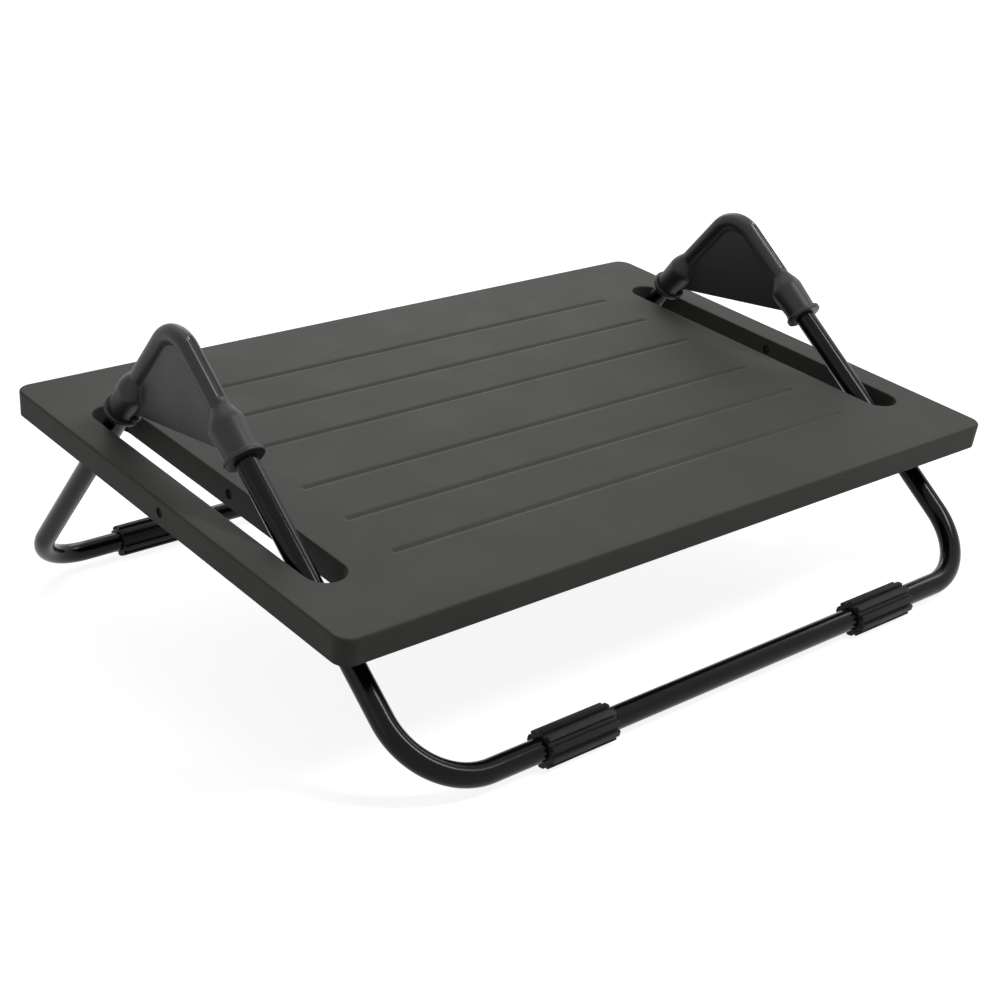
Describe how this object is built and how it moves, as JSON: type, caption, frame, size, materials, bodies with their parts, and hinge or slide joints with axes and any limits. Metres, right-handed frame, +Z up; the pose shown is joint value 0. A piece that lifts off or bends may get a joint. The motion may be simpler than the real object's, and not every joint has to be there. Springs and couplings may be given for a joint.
{
  "type": "rocking footrest",
  "caption": "Rocking footrest: a slotted, grooved plastic platform that slides and tilts on the V-shaped legs of a black tube frame with moulded grips and ribbed rubber feet.",
  "frame": {"origin": "on the floor, under the point where the front and rear leg lines meet, midway between the left and right legs", "axes": "+X along the platform's length, from the left grip to the right one; +Y from the front, the lower edge of the tilted platform, to the rear; +Z up"},
  "size_m": [0.4698, 0.3994, 0.1943],
  "materials": {
    "platform_plastic": "charcoal polypropylene moulding with a fine, even texture",
    "grip_plastic": "dark charcoal moulded plastic, finely textured, with a soft sheen",
    "frame_paint": "glossy black powder paint on bent steel tube",
    "foot_rubber": "matte black ribbed rubber sleeve",
    "spring_steel": "blackened spring steel strip with a domed button",
    "pin_steel": "blackened steel pin end"
  },
  "bodies": {
    "frame": {"front_frame_tube": "frame_paint", "rear_frame_tube": "frame_paint", "left_grip": "grip_plastic", "right_grip": "grip_plastic", "front_left_foot": "foot_rubber", "front_right_foot": "foot_rubber", "rear_left_foot": "foot_rubber", "rear_right_foot": "foot_rubber", "front_left_snap_button": "spring_steel", "front_right_snap_button": "spring_steel", "rear_left_snap_button": "spring_steel", "rear_right_snap_button": "spring_steel"},
    "cross_pins": {"left_rim_pin": "pin_steel", "right_rim_pin": "pin_steel", "left_slot_pin": "pin_steel", "right_slot_pin": "pin_steel"},
    "platform": {"platform": "platform_plastic"}
  },
  "joints": [
    {"name": "platform_swing", "type": "hinge", "parent": "frame", "child": "cross_pins", "pos_m": [0, 0, 0.22425], "axis": [1, 0, 0], "range_deg": [-2.3, 22.3]},
    {"name": "platform_tilt", "type": "hinge", "parent": "cross_pins", "child": "platform", "pos_m": [0, -0.02065, 0.10716], "axis": [1, 0, 0], "range_deg": [-44.6, 4.6]}
  ],
  "couplings": [
    {"joint": "platform_swing", "follows": "platform_tilt", "ratio": -0.5}
  ]
}
